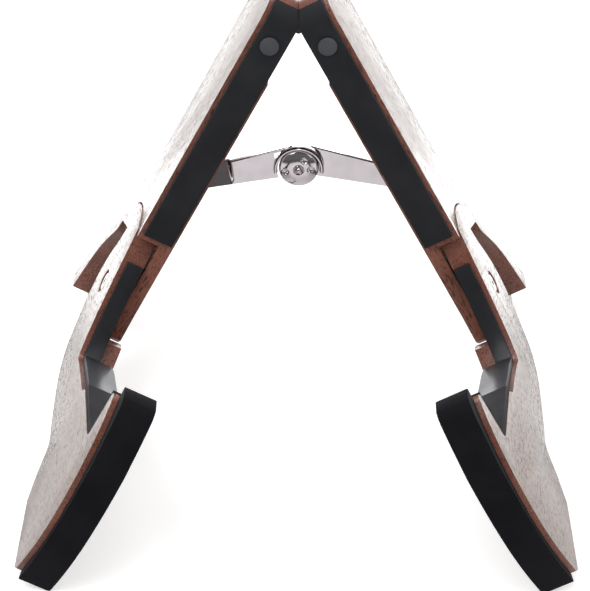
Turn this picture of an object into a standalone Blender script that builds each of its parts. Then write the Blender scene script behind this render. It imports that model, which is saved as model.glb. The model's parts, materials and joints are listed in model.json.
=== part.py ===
"""Folding wooden guitar stand: two hinged sides, each with a support arm that turns on it.

Every side is drawn in its own plane. There, "down" runs along the board away from the top hinge,
"forward" runs towards the player and "out" runs from the board's inner face to its outer face.
Down and forward are measured from the arm's pivot, out from the inner face.
"""

import math

import bmesh
import bpy
from mathutils import Matrix, Vector

MM = 0.001

# Clearances
GAP = 0.3                      # between pieces that touch
RUNNING_GAP = 0.5              # round pieces that turn

# Stance
HALF_ANGLE = 28.0              # of each side from the upright, degrees
FOOT_CUT = 1.9                 # how much of a foot's inner arris the floor takes off

# Wood
THICKNESS = 20.0               # of boards and arms
TONGUE_THICKNESS = 7.0         # of the board behind the arm's round end
BOARD_PROUD = 0.6              # the board's inner face stands this far in below the hinge leaf
ARM_INNER_RECESS = 0.2         # the arm's inner face, measured like the leaf's level
ARM_OUTER = 20.6               # the arm's outer face

# Side board, in its plane
PIVOT_DROP = 192.0             # from the hinge axis down to the arm's pivot
BOARD_TOP = 10.0               # above the hinge axis
FRONT_EDGE = 19.5              # forward of the pivot
REAR_EDGE = -42.5
TOP_FRONT_RADIUS = 14.0
TOP_REAR_RADIUS = 22.0
TOP_FOAM_TURN = 52.0           # the board's foam ends this far round the top corner, degrees
TONGUE_RADIUS = 28.0
TONGUE_ENDS = (49.0, -32.0)    # where its arc starts and ends, degrees
LEG_FLARE_START = -75.0        # where the rear edge leaves the upright, down from the pivot
LEG_FRONT_TOP = (-8.0, -48.6)
LEG_FRONT_MIDDLE = (22.0, -72.0)
LEG_FRONT_END = (61.0, -87.0)
LEG_TOE_FORWARD = 11.0         # the tongue's layer reaches this far forward of the leg's outer layer
LEG_TOE_DOWN = 7.5             # and this far below it
LEG_DEPTH = 31.0               # from its front to its rear edge at the floor
LEG_REAR_MIDDLE = (8.0, -79.0)
LEG_REAR_KNEE = (-38.0, -52.0)
LEG_END_STEP = 4.0             # the outer layer's leg is this much shallower at its end

# Support arm, in the same plane
HUB_RADIUS = 47.7
HUB_FRONT = (-45.4, 13.4)
BACKREST = [(-31.0, 19.0), (-15.0, 24.5), (1.0, 31.5), (14.0, 38.5)]
CRADLE_CORNER = (24.0, 47.5)
CRADLE_FLOOR_REAR = (18.4, 63.0)
CRADLE_FLOOR_STEP = (6.6, 103.5)
CRADLE_STEP_HEIGHT = 5.0
CRADLE_STEP_RUN = 6.0
CRADLE_CORNER_RADIUS = 5.0
CRADLE_FLOOR_FRONT = (-14.0, 173.6)
HOOK_ROOT_RADIUS = 6.0
HOOK_TIP_INNER = (-42.5, 173.8)
HOOK_TIP_OUTER = (-44.6, 179.4)
HOOK_TIP_ROUND = 1.6           # the tip stands this far above a line between its corners
BOW = [(-31.6, 189.4), (-10.8, 196.8), (11.7, 199.4), (31.0, 198.0), (49.0, 193.0)]
FOOT_TOE = (66.0, 186.0)
FOOT_FRONT_ROUND = (69.5, 181.0)
FOOT_LEVEL = 69.5
FOOT_BACK = 124.0
ARCH = [(60.0, 110.5), (49.0, 99.0), (50.5, 78.0), (52.6, 53.0), (53.6, 34.0), (53.4, 19.0), (50.8, 7.0)]
HEEL = [(46.6, -1.8), (36.8, -10.8), (26.0, -19.6)]
ARM_REAR = [(12.0, -25.0), (-3.0, -24.5), (-18.0, -18.8), (-27.4, -17.8)]
HUB_REAR_ANGLE = 70.0          # where the hub's arc ends behind the upright, degrees
SHOULDER = [(12.0, 42.0), (14.8, 31.0), (21.0, 25.5), (30.0, 19.0), (38.0, 6.0), (66.0, -2.0)]
STEP_BLEND = 2.0

# Foam
FOAM = 3.0
PAD = 3.2
OUTER_RIM = 2.7                # bare wood beside an arm's foam, outer side
BOARD_RIM = 2.3                # and beside the board's
INNER_RIM = 1.0                # the same, inner side
BOW_INNER_RIM = 0.5            # the bow's thick pad reaches almost to the inner face
ARM_STRIP_TOP = -29.0          # where the arm's strip starts, down from the pivot
STRIP_TO_TONGUE = 0.6          # the strip stays clear of the lapped tongue
FLOOR_STRIP_SHORT = 0.02       # share of the rear floor that the strip leaves bare before the step
BOARD_FOAM_END = -48.5
BOW_PAD_TOP = (-51.6, 177.6)   # where the bow's pad starts, behind and above the hook's tip
BOW_PAD_FRONT = [(-52.0, 187.5), (-48.5, 192.0), (-38.0, 196.8), (-27.0, 200.6), (-17.0, 203.4),
                 (6.0, 205.0), (29.0, 203.2), (50.0, 197.8), (68.5, 190.2)]

# Bumper
BUMPER_RADIUS = 5.0
BUMPER_HEIGHT = 1.6
BUMPER_DROP = 13.1             # below the hinge axis
BUMPER_OUT = 9.7

# Arm pivot
BOLT_RADIUS = 3.0
BOLT_HEAD_RADIUS = 5.6
BOLT_HEAD_HEIGHT = 2.6
BOLT_HEAD_EDGE = 0.8           # bevel round the head
BOLT_SOCKET = 1.9
BOLT_SOCKET_DEPTH = 1.6
RECESS_RADIUS = 7.0
RECESS_DEPTH = 4.6
WASHER_RADIUS = 6.3
WASHER_THICKNESS = 0.9
FRICTION_WASHER_RADIUS = 16.0
FRICTION_WASHER_THICKNESS = 0.5
INSERT_RADIUS = 4.6
INSERT_FLANGE_RADIUS = 6.6
INSERT_FLANGE = 1.0
BOLT_END = 0.8                 # the bolt ends this far inside the inner face

# Top hinge
HINGE_PIN_RADIUS = 1.0
KNUCKLE_RADIUS = 2.1
LEAF_THICKNESS = 1.5
HINGE_OFFSET = 0.25            # from the hinge axis out to the boards' inner faces
LEAF_SUNK = 0.7                # the leaves lie this far below the inner faces
LEAF_DROP = 33.0               # length of a leaf down the board
MORTISE_DROP = 34.6            # length of its mortise
LEAF_BACK = 9.0                # hinge's rear end before the rear edge
HINGE_FRONT = 18.6             # hinge's front end, forward of the pivot
KNUCKLES = 5
SCREW_RADIUS = 1.5
SCREW_HEAD_RADIUS = 2.7
SCREW_LENGTH = 11.0
LEAF_SCREW_DROP = (14.0, 27.0)
LEAF_SCREW_FORWARD = (8.0, -12.0, -26.0)
SCREW_SUNK = 1.0                # depth of its seat in the leaf
PIN_RELIEF = 2.6               # the leaf's plate starts this far below the axis
WEB_REACH = 4.0                # and the knuckles' webs end this far below it
WEB_INSET = 0.05               # the webs are this much smaller than the plate and the knuckles
SCREW_FACE = 0.1               # of a leaf screw, below the leaf's face

# Lid stay
STAY_DROP = 117.0              # of its pins, below the hinge axis
STAY_PIN_OUT = 6.0             # of its pins, from the inner face into the slot
STAY_FORWARD = -4.0            # its middle plane, from the arm's pivot
STAY_RISE = 10.2               # of the hub above the pins
LINK_WIDTH = 15.0
LINK_THICKNESS = 1.6
LINK_CROWN = 5.2               # the link's middle line passes this far above the hub's rivet
LINK_PIN_END = (250.0, 95.0)   # round of the link's pin end, degrees
LINK_HUB_END = (88.0, -60.0)   # and of its hub end
HUB_CAP_RADIUS = 10.3
HUB_CAP_THICKNESS = 1.4
RIVET_RADIUS = 1.8
RIVET_HEAD_RADIUS = 3.4
RIVET_HEAD = 1.5
STAY_PIN_RADIUS = 1.6
STAY_PIN_LENGTH = 21.0
SLOT_DEPTH = 16.2
SLOT_WIDTH = 12.6
SLOT_BELOW_PIN = 11.5
SLOT_ABOVE_HUB = 4.5

BORE_REACH = 60.0              # half length of cutters along the hinge axis
CUTTER_START = -2.0            # cutters start this far out, clear of the inner faces
ROUND_STEPS = 24
CURVE_STEPS = 6

TILT = math.radians(HALF_ANGLE)
FOOT_DROP = PIVOT_DROP + FOOT_LEVEL
HINGE_HEIGHT = FOOT_DROP * math.cos(TILT) - HINGE_OFFSET * math.sin(TILT) - FOOT_CUT


def clear_scene():
    for item in list(bpy.data.objects):
        bpy.data.objects.remove(item)


def material(name, colour, roughness, metallic=0.0):
    mat = bpy.data.materials.new(name)
    mat.use_nodes = True
    shader = mat.node_tree.nodes["Principled BSDF"]
    shader.inputs["Base Color"].default_value = (*colour, 1.0)
    shader.inputs["Roughness"].default_value = roughness
    shader.inputs["Metallic"].default_value = metallic
    return mat


# Points and outlines

def arc(centre, radius, start, end, steps):
    """Points on an arc; angles in degrees from down towards forward."""
    points = []
    for step in range(steps + 1):
        angle = math.radians(start + (end - start) * step / steps)
        points.append((centre[0] + radius * math.cos(angle), centre[1] + radius * math.sin(angle)))
    return points


def smooth(points, steps=CURVE_STEPS):
    """A curve through all points, which runs straight out of its first and last one."""
    ends = [points[0]] + list(points) + [points[-1]]
    result = []
    for i in range(1, len(ends) - 2):
        before, start, end, after = (Vector(ends[i + k]) for k in (-1, 0, 1, 2))
        for step in range(steps):
            t = step / steps
            point = 0.5 * (2 * start + (end - before) * t
                           + (2 * before - 5 * start + 4 * end - after) * t ** 2
                           + (3 * start - before - 3 * end + after) * t ** 3)
            result.append(tuple(point))
    result.append(tuple(points[-1]))
    return result


def rounded(corner, before, after, radius, steps=5):
    """Points on the arc that rounds a corner between its two neighbours."""
    corner = Vector(corner)
    towards_before = (Vector(before) - corner).normalized()
    towards_after = (Vector(after) - corner).normalized()
    half = towards_before.angle(towards_after) / 2
    centre = corner + (towards_before + towards_after).normalized() * radius / math.sin(half)
    start = corner + towards_before * radius / math.tan(half) - centre
    end = corner + towards_after * radius / math.tan(half) - centre
    turn = start.angle(end)
    points = []
    for step in range(steps + 1):
        t = step / steps
        mixed = start * math.sin((1 - t) * turn) + end * math.sin(t * turn)
        points.append(tuple(centre + mixed / math.sin(turn)))
    return points


def offset(path, distance):
    """The path moved sideways; a positive distance moves it to the right of its direction."""
    moved = []
    for i, point in enumerate(path):
        before = Vector(path[max(i - 1, 0)])
        after = Vector(path[min(i + 1, len(path) - 1)])
        here = Vector(point)
        first = (here - before).normalized() if i else (after - here).normalized()
        second = (after - here).normalized() if i < len(path) - 1 else first
        along = (first + second).normalized()
        stretch = max(along.dot(second), 0.5)
        side = Vector((along[1], -along[0]))
        moved.append(tuple(here + side * distance / stretch))
    return moved


# Solids in a side's plane

def prism(outline, inner, outer):
    """Closed solid over an outline between two distances out."""
    mesh = bmesh.new()
    lower = [mesh.verts.new((p[0] * MM, p[1] * MM, inner * MM)) for p in outline]
    upper = [mesh.verts.new((p[0] * MM, p[1] * MM, outer * MM)) for p in outline]
    mesh.faces.new(lower)
    mesh.faces.new(upper)
    count = len(outline)
    for i in range(count):
        j = (i + 1) % count
        mesh.faces.new((lower[i], lower[j], upper[j], upper[i]))
    bmesh.ops.recalc_face_normals(mesh, faces=mesh.faces)
    return mesh


def ring_of(mesh, radius, height, steps):
    """New vertices on a circle about Z, or one on the axis itself."""
    if radius < 1e-6:
        return [mesh.verts.new((0, 0, height * MM))]
    ring = []
    for step in range(steps):
        angle = 2 * math.pi * step / steps
        place_on = (radius * math.cos(angle), radius * math.sin(angle), height)
        ring.append(mesh.verts.new(Vector(place_on) * MM))
    return ring


def turned(profile, steps=ROUND_STEPS):
    """Solid turned about its own Z from (radius, height) pairs; it starts and ends on the axis."""
    mesh = bmesh.new()
    rings = [ring_of(mesh, radius, height, steps) for radius, height in profile]
    for lower, upper in zip(rings, rings[1:]):
        for i in range(steps):
            j = (i + 1) % steps
            corners = ((lower, i), (lower, j), (upper, j), (upper, i))
            face = list(dict.fromkeys(ring[k % len(ring)] for ring, k in corners))
            if len(face) > 2:
                mesh.faces.new(face)
    bmesh.ops.recalc_face_normals(mesh, faces=mesh.faces)
    return mesh


def tube(inner_radius, outer_radius, low, high, steps=ROUND_STEPS):
    """Ring with a bore, about its own Z."""
    mesh = bmesh.new()
    loop = [(outer_radius, low), (outer_radius, high), (inner_radius, high), (inner_radius, low)]
    rings = [ring_of(mesh, radius, height, steps) for radius, height in loop]
    for k in range(4):
        lower, upper = rings[k], rings[(k + 1) % 4]
        for i in range(steps):
            j = (i + 1) % steps
            mesh.faces.new((lower[i], lower[j], upper[j], upper[i]))
    bmesh.ops.recalc_face_normals(mesh, faces=mesh.faces)
    return mesh


def along_out(mesh, down, forward):
    """Moves a solid made about Z to a place in the side's plane, its axis running out."""
    bmesh.ops.translate(mesh, verts=mesh.verts, vec=(down * MM, forward * MM, 0))
    return mesh


def along_forward(mesh, down, out):
    """Lays a solid made about Z so that its axis runs forward."""
    bmesh.ops.rotate(mesh, verts=mesh.verts, cent=(0, 0, 0), matrix=Matrix.Rotation(-math.pi / 2, 3, "X"))
    bmesh.ops.translate(mesh, verts=mesh.verts, vec=(down * MM, 0, out * MM))
    return mesh


def boolean(base, tool, operation):
    """Cuts or unites two closed meshes with the exact solver."""
    objects = []
    for mesh in (base, tool):
        data = bpy.data.meshes.new("boolean operand")
        bmesh.ops.recalc_face_normals(mesh, faces=mesh.faces)
        mesh.to_mesh(data)
        item = bpy.data.objects.new("boolean operand", data)
        bpy.context.scene.collection.objects.link(item)
        objects.append(item)
    modifier = objects[0].modifiers.new("cut", "BOOLEAN")
    modifier.operation = operation
    modifier.solver = "EXACT"
    modifier.object = objects[1]
    bpy.context.view_layer.update()
    graph = bpy.context.evaluated_depsgraph_get()
    evaluated = bpy.data.meshes.new_from_object(objects[0].evaluated_get(graph))
    result = bmesh.new()
    result.from_mesh(evaluated)
    for item in objects:
        data = item.data
        bpy.data.objects.remove(item)
        bpy.data.meshes.remove(data)
    bpy.data.meshes.remove(evaluated)
    base.free()
    tool.free()
    bmesh.ops.remove_doubles(result, verts=result.verts, dist=1e-6)
    return result


def cut(base, tool):
    return boolean(base, tool, "DIFFERENCE")


def united(base, tool):
    return boolean(base, tool, "UNION")


# Places in the world

def hinge_centre():
    """A point of the hinge axis; the part's front and rear ends lie as far from the middle."""
    front = max(point[1] for point in bow_pad_outline())
    rear = min(point[1] for point in board_rear())
    return Vector((0, (front + rear) / 2 * MM, HINGE_HEIGHT * MM))


def side_matrix(side):
    """From a side's plane to the world; side is -1 on the left and 1 on the right."""
    down = Vector((side * math.sin(TILT), 0, -math.cos(TILT)))
    forward = Vector((0, -1, 0))
    out = Vector((side * math.cos(TILT), 0, math.sin(TILT)))
    hinge = hinge_centre()
    origin = hinge + down * PIVOT_DROP * MM + out * HINGE_OFFSET * MM
    matrix = Matrix.Identity(4)
    for column, vector in enumerate((down, forward, out, origin)):
        for row in range(3):
            matrix[row][column] = vector[row]
    return matrix


def place(name, mesh, matrix, finish, origin, smooth_angle=None):
    """Makes the node: the mesh goes to the world and its object's origin to the joint's axis."""
    origin = Vector(origin)
    bmesh.ops.transform(mesh, verts=mesh.verts, matrix=Matrix.Translation(-origin) @ matrix)
    bmesh.ops.recalc_face_normals(mesh, faces=mesh.faces)
    data = bpy.data.meshes.new(name)
    mesh.to_mesh(data)
    mesh.free()
    data.materials.append(finish)
    if smooth_angle:
        data.shade_smooth()
        data.set_sharp_from_angle(angle=math.radians(smooth_angle))
    item = bpy.data.objects.new(name, data)
    item.location = origin
    bpy.context.scene.collection.objects.link(item)
    return item


def floor_cutter(side):
    """Everything below the floor, in the side's plane."""
    inverse = side_matrix(side).inverted()
    mesh = bmesh.new()
    bmesh.ops.create_cube(mesh, size=1.0)
    bmesh.ops.scale(mesh, verts=mesh.verts, vec=(0.8, 0.8, 0.1))
    bmesh.ops.translate(mesh, verts=mesh.verts, vec=(0, 0, -0.05))
    bmesh.ops.transform(mesh, verts=mesh.verts, matrix=inverse)
    return mesh


def mitre_cutter(side):
    """Everything past the mid plane, in the side's plane."""
    inverse = side_matrix(side).inverted()
    mesh = bmesh.new()
    bmesh.ops.create_cube(mesh, size=1.0)
    bmesh.ops.scale(mesh, verts=mesh.verts, vec=(0.1, 0.8, 0.8))
    bmesh.ops.translate(mesh, verts=mesh.verts, vec=(-side * (0.05 - GAP / 2 * MM), 0, 0))
    bmesh.ops.transform(mesh, verts=mesh.verts, matrix=inverse)
    return mesh


# Side board

TOP = -PIVOT_DROP - BOARD_TOP
LEG_TOE = (FOOT_LEVEL, LEG_FRONT_END[1] + LEG_TOE_FORWARD)
LEG_HEEL = (FOOT_LEVEL, LEG_FRONT_END[1] - LEG_DEPTH + LEG_TOE_FORWARD)


def board_rear():
    """The board's rear edge from the floor up to its top."""
    upright = (TOP, REAR_EDGE)
    points = smooth([LEG_HEEL, LEG_REAR_MIDDLE, LEG_REAR_KNEE, (LEG_FLARE_START, REAR_EDGE)])
    return points + rounded(upright, (LEG_FLARE_START, REAR_EDGE), (TOP, FRONT_EDGE), TOP_REAR_RADIUS)


def board_top_front():
    return rounded((TOP, FRONT_EDGE), (TOP, REAR_EDGE), (0, FRONT_EDGE), TOP_FRONT_RADIUS)


def inner_layer_outline():
    """Tongue layer: the whole board behind the arm's round end, with the longer leg."""
    tongue = arc((0, 0), TONGUE_RADIUS, *TONGUE_ENDS, 10)
    return board_top_front() + [(2.0, FRONT_EDGE)] + tongue + [LEG_TOE] + board_rear()


def outer_layer_outline():
    """Outer layer: the board above the arm's pocket, and the shorter leg behind it."""
    pocket = HUB_RADIUS + GAP + RUNNING_GAP
    front_angle = 180 - math.degrees(math.asin(FRONT_EDGE / pocket))
    rear_angle = 180 + math.degrees(math.atan2(-LEG_FRONT_TOP[1], -LEG_FRONT_TOP[0]))
    hollow = arc((0, 0), pocket, front_angle, rear_angle, 16)
    front = smooth([hollow[-1], LEG_FRONT_MIDDLE, LEG_FRONT_END])[1:]
    end = (LEG_FRONT_END[0], LEG_HEEL[1] + LEG_END_STEP)
    return board_top_front() + hollow + front + [end] + board_rear()[2:]


def slot_outline():
    closed_hub = STAY_DROP - link_length()
    low = -PIVOT_DROP + STAY_DROP + SLOT_BELOW_PIN
    high = -PIVOT_DROP + closed_hub - HUB_CAP_RADIUS - SLOT_ABOVE_HUB
    back = STAY_FORWARD - SLOT_WIDTH / 2
    front = STAY_FORWARD + SLOT_WIDTH / 2
    return [(high, back), (high, front), (low, front), (low, back)]


def link_length():
    span = STAY_DROP * math.sin(TILT) + (STAY_PIN_OUT + HINGE_OFFSET) * math.cos(TILT)
    return math.hypot(span, STAY_RISE)


def leaf_knuckles(side):
    """Forward ranges of the knuckles of one leaf; the two leaves take turns."""
    rear = REAR_EDGE + LEAF_BACK
    pitch = (HINGE_FRONT - rear) / KNUCKLES
    turn = 0 if side < 0 else 1
    starts = [rear + i * pitch for i in range(KNUCKLES) if i % 2 == turn]
    return [(start + GAP / 2, start + pitch - GAP / 2) for start in starts]


def relief_outline():
    """Where the board's inner face is planed level with the hinge, so that the A can close."""
    low = -PIVOT_DROP + MORTISE_DROP
    return [(TOP - 1, REAR_EDGE - 1), (TOP - 1, FRONT_EDGE + 1), (low, FRONT_EDGE + 1), (low, REAR_EDGE - 1)]


def mortise_outline():
    """The leaf's bed in the board's inner face, open at the front edge."""
    top = -PIVOT_DROP - KNUCKLE_RADIUS
    low = -PIVOT_DROP + MORTISE_DROP
    rear = REAR_EDGE + LEAF_BACK - GAP
    return [(top, rear), (top, FRONT_EDGE + 1), (low, FRONT_EDGE + 1), (low, rear)]


def bore_cutter(radius, steps=20):
    """A round bar along the hinge axis, in the side's plane."""
    bar = turned([(0, -BORE_REACH), (radius, -BORE_REACH), (radius, BORE_REACH), (0, BORE_REACH)], steps)
    return along_forward(bar, -PIVOT_DROP, -HINGE_OFFSET)


def screw_places():
    return [(drop - PIVOT_DROP, forward) for drop in LEAF_SCREW_DROP for forward in LEAF_SCREW_FORWARD]


def side_board(side, wood, hinge):
    mesh = united(prism(inner_layer_outline(), -BOARD_PROUD, TONGUE_THICKNESS + 0.01),
                  prism(outer_layer_outline(), TONGUE_THICKNESS, THICKNESS))
    mesh = cut(mesh, prism(relief_outline(), CUTTER_START, 0))
    mesh = cut(mesh, mitre_cutter(side))
    mesh = cut(mesh, floor_cutter(side))
    mesh = cut(mesh, prism(slot_outline(), CUTTER_START, SLOT_DEPTH))
    pin_hole = turned([(0, -STAY_PIN_LENGTH / 2 - GAP), (STAY_PIN_RADIUS + GAP, -STAY_PIN_LENGTH / 2 - GAP),
                       (STAY_PIN_RADIUS + GAP, STAY_PIN_LENGTH / 2 + GAP), (0, STAY_PIN_LENGTH / 2 + GAP)])
    pin_hole = along_forward(pin_hole, STAY_DROP - PIVOT_DROP, STAY_PIN_OUT)
    bmesh.ops.translate(pin_hole, verts=pin_hole.verts, vec=(0, STAY_FORWARD * MM, 0))
    mesh = cut(mesh, pin_hole)
    insert_hole = turned([(0, CUTTER_START), (INSERT_FLANGE_RADIUS + GAP, CUTTER_START),
                          (INSERT_FLANGE_RADIUS + GAP, INSERT_FLANGE + GAP),
                          (INSERT_RADIUS + GAP, INSERT_FLANGE + GAP),
                          (INSERT_RADIUS + GAP, TONGUE_THICKNESS + 1), (0, TONGUE_THICKNESS + 1)])
    mesh = cut(mesh, insert_hole)
    mesh = cut(mesh, prism(mortise_outline(), CUTTER_START, LEAF_SUNK + LEAF_THICKNESS + GAP))
    for down, forward in screw_places():
        hole = turned([(0, 0), (SCREW_RADIUS + GAP, 0), (SCREW_RADIUS + GAP, SCREW_LENGTH + 1),
                       (0, SCREW_LENGTH + 1)], 12)
        mesh = cut(mesh, along_out(hole, down, forward))
    mesh = cut(mesh, bore_cutter(KNUCKLE_RADIUS + RUNNING_GAP))
    place(name_of(side, "side_board"), mesh, side_matrix(side), wood, hinge)


# Support arm

def cradle_path():
    """The cradle floor from its corner to the hook, with the small step."""
    step = (CRADLE_FLOOR_STEP[0] - CRADLE_STEP_HEIGHT, CRADLE_FLOOR_STEP[1] + CRADLE_STEP_RUN)
    return [CRADLE_FLOOR_REAR, CRADLE_FLOOR_STEP, step, CRADLE_FLOOR_FRONT]


def arm_outline():
    front_angle = 180 - math.degrees(math.atan2(HUB_FRONT[1], -HUB_FRONT[0]))
    hub = arc((0, 0), HUB_RADIUS, 180 + HUB_REAR_ANGLE, front_angle, 8)
    backrest = smooth([hub[-1]] + BACKREST)
    corner = rounded(CRADLE_CORNER, BACKREST[-1], CRADLE_FLOOR_REAR, CRADLE_CORNER_RADIUS)
    floor = cradle_path()
    hook_root = rounded(floor[-1], floor[-2], HOOK_TIP_INNER, HOOK_ROOT_RADIUS)
    tip = smooth([HOOK_TIP_INNER, ((HOOK_TIP_INNER[0] + HOOK_TIP_OUTER[0]) / 2 - HOOK_TIP_ROUND,
                                   (HOOK_TIP_INNER[1] + HOOK_TIP_OUTER[1]) / 2), HOOK_TIP_OUTER], 2)
    bow = smooth([HOOK_TIP_OUTER] + BOW + [FOOT_TOE])[1:]
    foot = [FOOT_FRONT_ROUND, (FOOT_LEVEL, FOOT_BACK)]
    under = smooth([foot[-1]] + ARCH + HEEL + ARM_REAR)[1:]
    return hub + backrest[1:] + corner + floor[:-1] + hook_root + tip + bow + foot + under


def lap_outline():
    """What the arm's inner layer leaves out, so that it laps over the tongue."""
    return [(-90, -90), (-90, 70)] + SHOULDER + [(90, -10), (90, -90)]


def support_arm(side, wood, pivot):
    mesh = prism(arm_outline(), ARM_INNER_RECESS, ARM_OUTER)
    lap = TONGUE_THICKNESS + 2 * GAP + FRICTION_WASHER_THICKNESS
    mesh = cut(mesh, prism(lap_outline(), CUTTER_START, lap))
    seat = ARM_OUTER - RECESS_DEPTH
    hole = turned([(0, 0), (BOLT_RADIUS + GAP, 0), (BOLT_RADIUS + GAP, seat), (RECESS_RADIUS, seat),
                   (RECESS_RADIUS, ARM_OUTER + 1), (0, ARM_OUTER + 1)])
    mesh = cut(mesh, hole)
    mesh = cut(mesh, floor_cutter(side))
    place(name_of(side, "support_arm"), mesh, side_matrix(side), wood, pivot)


# Foam

def strip(path, thickness, inner, outer, lift=GAP):
    """A flat strip of foam that lies on a path of the wood's edge."""
    near = offset(path, lift)
    far = offset(path, lift + thickness)
    return prism(near + far[::-1], inner, outer)


def board_foam(side, foam, hinge):
    centre = (TOP + TOP_FRONT_RADIUS, FRONT_EDGE - TOP_FRONT_RADIUS)
    path = [(BOARD_FOAM_END, FRONT_EDGE)] + arc(centre, TOP_FRONT_RADIUS, 90.0, 90.0 + TOP_FOAM_TURN, 5)
    mesh = strip(path, FOAM, INNER_RIM, THICKNESS - BOARD_RIM)
    mesh = cut(mesh, mitre_cutter(side))
    place(name_of(side, "board_foam"), mesh, side_matrix(side), foam, hinge)


def arm_foam(side, foam, pivot):
    """Strip on the back rest edge and the rear of the cradle floor, narrow where the arm laps the board."""
    backrest = [p for p in smooth([HUB_FRONT] + BACKREST) if p[0] > ARM_STRIP_TOP]
    corner = rounded(CRADLE_CORNER, BACKREST[-1], CRADLE_FLOOR_REAR, CRADLE_CORNER_RADIUS)
    floor_end = tuple(Vector(CRADLE_FLOOR_STEP).lerp(Vector(CRADLE_FLOOR_REAR), FLOOR_STRIP_SHORT))
    path = backrest + corner + [CRADLE_FLOOR_REAR, floor_end]
    mesh = strip(path, FOAM, ARM_INNER_RECESS + INNER_RIM, ARM_OUTER - OUTER_RIM, lift=-GAP - FOAM)
    before = tuple(2 * Vector(backrest[0]) - Vector(backrest[1]))
    narrow = TONGUE_THICKNESS + 2 * GAP + FRICTION_WASHER_THICKNESS + STRIP_TO_TONGUE
    lapped = strip([before] + backrest + corner[:3], FOAM + 2, CUTTER_START, narrow, lift=-GAP - FOAM - 1)
    place(name_of(side, "arm_foam"), cut(mesh, lapped), side_matrix(side), foam, pivot)


def cradle_pad(side, foam, pivot):
    step = cradle_path()[2]
    path = [step] + rounded(CRADLE_FLOOR_FRONT, step, HOOK_TIP_INNER, HOOK_ROOT_RADIUS) + [HOOK_TIP_INNER]
    mesh = strip(path, PAD, ARM_INNER_RECESS + INNER_RIM, ARM_OUTER - GAP, lift=-GAP - PAD)
    place(name_of(side, "cradle_pad"), mesh, side_matrix(side), foam, pivot)


def bow_pad_outline():
    """The bow's thick pad: its bed along the arm's front edge, then its front face back up."""
    bed = offset(smooth([HOOK_TIP_OUTER] + BOW + [FOOT_TOE]), -GAP)
    return [BOW_PAD_TOP] + bed + smooth(BOW_PAD_FRONT)[::-1]


def bow_foam(side, foam, pivot):
    mesh = prism(bow_pad_outline(), ARM_INNER_RECESS + BOW_INNER_RIM, ARM_OUTER - OUTER_RIM)
    mesh = cut(mesh, floor_cutter(side))
    place(name_of(side, "bow_foam"), mesh, side_matrix(side), foam, pivot)


def bumper(side, rubber, hinge):
    face = FRONT_EDGE + GAP + FOAM + GAP
    mesh = turned([(0, face), (BUMPER_RADIUS, face), (BUMPER_RADIUS, face + BUMPER_HEIGHT - 0.4),
                   (BUMPER_RADIUS - 0.5, face + BUMPER_HEIGHT), (0, face + BUMPER_HEIGHT)])
    mesh = along_forward(mesh, BUMPER_DROP - PIVOT_DROP, BUMPER_OUT)
    place(name_of(side, "bumper"), mesh, side_matrix(side), rubber, hinge, 40)


# Arm pivot

def pivot_hardware(side, steel, fibre, brass, pivot):
    seat = ARM_OUTER - RECESS_DEPTH
    under_head = seat + GAP + WASHER_THICKNESS + GAP
    head_top = under_head + BOLT_HEAD_HEIGHT
    socket_floor = head_top - BOLT_SOCKET_DEPTH
    bolt = turned([(0, BOLT_END), (BOLT_RADIUS, BOLT_END), (BOLT_RADIUS, under_head),
                   (BOLT_HEAD_RADIUS, under_head), (BOLT_HEAD_RADIUS, head_top - BOLT_HEAD_EDGE),
                   (BOLT_HEAD_RADIUS - BOLT_HEAD_EDGE, head_top), (BOLT_SOCKET, head_top),
                   (BOLT_SOCKET, socket_floor), (0, socket_floor)])
    matrix = side_matrix(side)
    place(name_of(side, "pivot_bolt"), bolt, matrix, steel, pivot, 35)
    washer = tube(BOLT_RADIUS + GAP, WASHER_RADIUS, seat + GAP, seat + GAP + WASHER_THICKNESS)
    place(name_of(side, "pivot_washer"), washer, matrix, steel, pivot, 35)
    low = TONGUE_THICKNESS + GAP
    friction = tube(BOLT_RADIUS + GAP, FRICTION_WASHER_RADIUS, low, low + FRICTION_WASHER_THICKNESS)
    place(name_of(side, "friction_washer"), friction, matrix, fibre, pivot, 35)
    insert = united(tube(BOLT_RADIUS + GAP, INSERT_FLANGE_RADIUS, 0, INSERT_FLANGE),
                    tube(BOLT_RADIUS + GAP, INSERT_RADIUS, INSERT_FLANGE / 2, TONGUE_THICKNESS))
    place(name_of(side, "threaded_insert"), insert, matrix, brass, pivot, 35)


# Top hinge

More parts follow.
